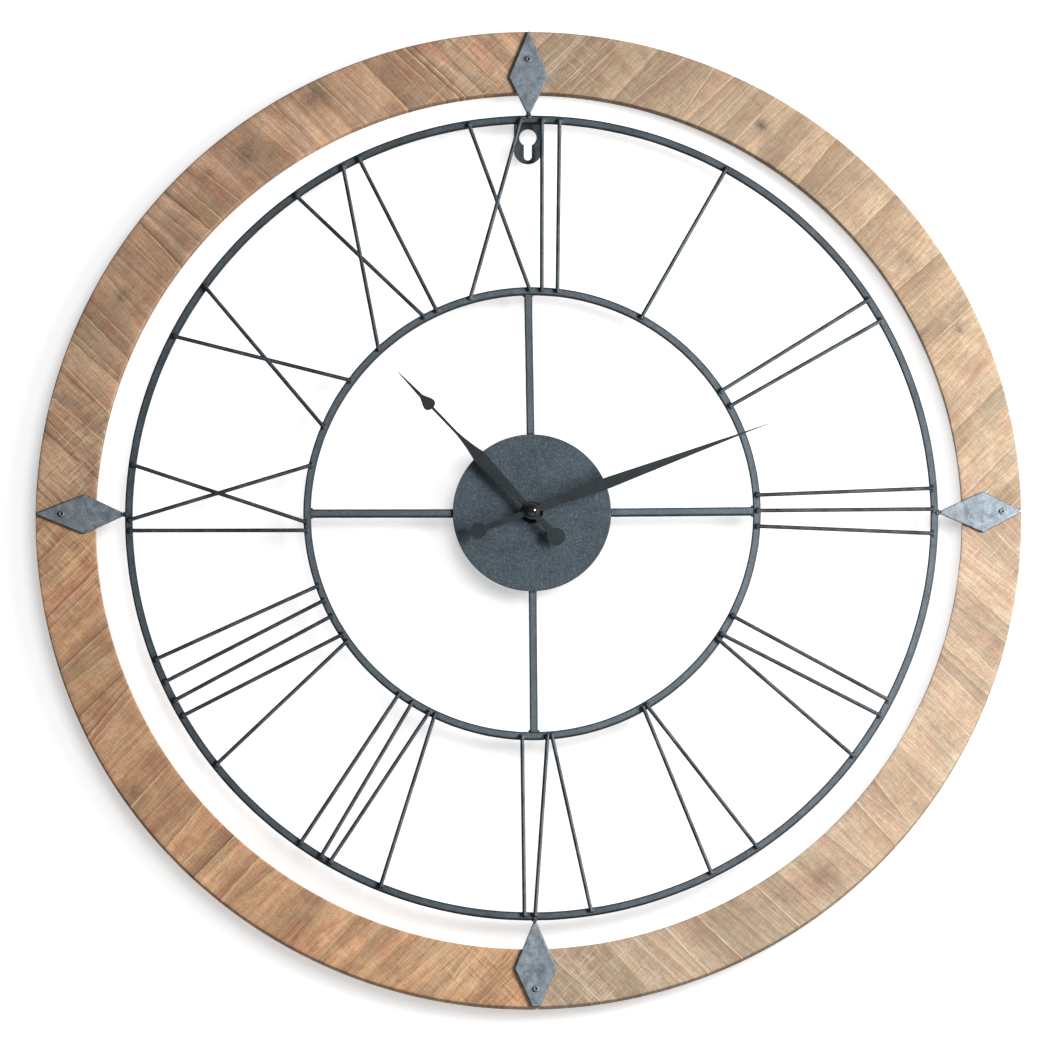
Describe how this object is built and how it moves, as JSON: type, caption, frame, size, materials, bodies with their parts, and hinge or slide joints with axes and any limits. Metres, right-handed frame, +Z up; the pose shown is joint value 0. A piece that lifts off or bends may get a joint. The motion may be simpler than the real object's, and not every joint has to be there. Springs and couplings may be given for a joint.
{
  "type": "wall clock",
  "caption": "Skeleton wall clock: sawn oak ring round a welded iron dial with rod Roman numerals, two black hands and a battery quartz movement.",
  "frame": {"origin": "on the axis of the hanger plate's round hole, in the plate's back face", "axes": "+X to the reader's right, +Y from the dial towards the wall, +Z up"},
  "size_m": [0.8, 0.0364, 0.8],
  "materials": {
    "oak": "rough-sawn boards, brown stain, matt, saw marks across the grain",
    "dowel_wood": "plain turned beech",
    "iron_bar": "charcoal blue-grey, hand-forged, satin",
    "iron_disc": "dark slate, fine sand texture, satin",
    "hammered_iron": "hammered grey iron, worn edges",
    "black_hand": "matt black with cut edges",
    "gloss_black": "gloss black",
    "black_plastic": "fine moulded texture",
    "white_plastic": "moulded acetal",
    "brass": "turned",
    "bright_steel": "bright zinc-plated",
    "blackened_steel": "turned steel, blackened",
    "magnet": "sintered ferrite on a moulded arbor",
    "rubber": "matt",
    "copper_wire": "enamelled copper wire, wound",
    "battery_sleeve": "plain shrink sleeve over a steel can",
    "board_green": "solder resist",
    "crystal_can": "bright can"
  },
  "bodies": {
    "frame": {"battery": "battery_sleeve", "battery_contact_negative": "bright_steel", "battery_contact_positive": "bright_steel", "circuit_board": "board_green", "clamp_washer": "blackened_steel", "coil": "copper_wire", "coil_core": "bright_steel", "diamond_bottom": "hammered_iron", "diamond_left": "hammered_iron", "diamond_nails": "hammered_iron", "diamond_right": "hammered_iron", "diamond_top": "hammered_iron", "gear_plate": "white_plastic", "hanger_plate": "iron_bar", "hex_nut": "blackened_steel", "hub_disc": "iron_disc", "inner_ring": "iron_bar", "joint_dowels": "dowel_wood", "movement_case": "black_plastic", "movement_cover": "black_plastic", "numeral_01": "iron_bar", "numeral_02": "iron_bar", "numeral_03": "iron_bar", "numeral_04": "iron_bar", "numeral_05": "iron_bar", "numeral_06": "iron_bar", "numeral_07": "iron_bar", "numeral_08": "iron_bar", "numeral_09": "iron_bar", "numeral_10": "iron_bar", "numeral_11": "iron_bar", "numeral_12": "iron_bar", "outer_ring": "iron_bar", "quartz_crystal": "crystal_can", "rubber_washer": "rubber", "spoke_bottom": "iron_bar", "spoke_left": "iron_bar", "spoke_right": "iron_bar", "spoke_top": "iron_bar", "stator": "bright_steel", "threaded_bush": "brass", "wood_board_lower_left": "oak", "wood_board_lower_right": "oak", "wood_board_upper_left": "oak", "wood_board_upper_right": "oak"},
    "minute_works": {"minute_shaft": "bright_steel", "centre_wheel": "white_plastic", "cannon_pinion": "brass", "minute_hand": "black_hand", "cap_nut": "gloss_black"},
    "hour_works": {"hour_wheel": "white_plastic", "hour_hand": "black_hand", "hour_hand_collet": "brass"},
    "motion_works": {"motion_wheel": "white_plastic", "setting_knob": "black_plastic"},
    "third_works": {"third_wheel": "white_plastic"},
    "fourth_works": {"fourth_wheel": "white_plastic"},
    "fifth_works": {"fifth_wheel": "white_plastic"},
    "rotor_works": {"rotor": "magnet"}
  },
  "joints": [
    {"name": "minute_turn", "type": "hinge", "parent": "frame", "child": "minute_works", "pos_m": [0.0034, 0, -0.3095], "axis": [0, 1, 0], "continuous": true},
    {"name": "hour_turn", "type": "hinge", "parent": "frame", "child": "hour_works", "pos_m": [0.0034, 0, -0.3095], "axis": [0, 1, 0], "continuous": true},
    {"name": "motion_turn", "type": "hinge", "parent": "frame", "child": "motion_works", "pos_m": [-0.00339, 0, -0.30271], "axis": [0, 1, 0], "continuous": true},
    {"name": "third_turn", "type": "hinge", "parent": "frame", "child": "third_works", "pos_m": [0.01203, 0, -0.30636], "axis": [0, 1, 0], "continuous": true},
    {"name": "fourth_turn", "type": "hinge", "parent": "frame", "child": "fourth_works", "pos_m": [0.01563, 0, -0.30012], "axis": [0, 1, 0], "continuous": true},
    {"name": "fifth_turn", "type": "hinge", "parent": "frame", "child": "fifth_works", "pos_m": [0.01456, 0, -0.2941], "axis": [0, 1, 0], "continuous": true},
    {"name": "rotor_turn", "type": "hinge", "parent": "frame", "child": "rotor_works", "pos_m": [0.00976, 0, -0.2941], "axis": [0, 1, 0], "continuous": true}
  ],
  "couplings": [
    {"joint": "hour_turn", "follows": "minute_turn", "ratio": 0.083333},
    {"joint": "motion_turn", "follows": "minute_turn", "ratio": -0.33333},
    {"joint": "third_turn", "follows": "minute_turn", "ratio": -7.5},
    {"joint": "fourth_turn", "follows": "minute_turn", "ratio": 60},
    {"joint": "fifth_turn", "follows": "minute_turn", "ratio": -450},
    {"joint": "rotor_turn", "follows": "minute_turn", "ratio": 1800}
  ]
}
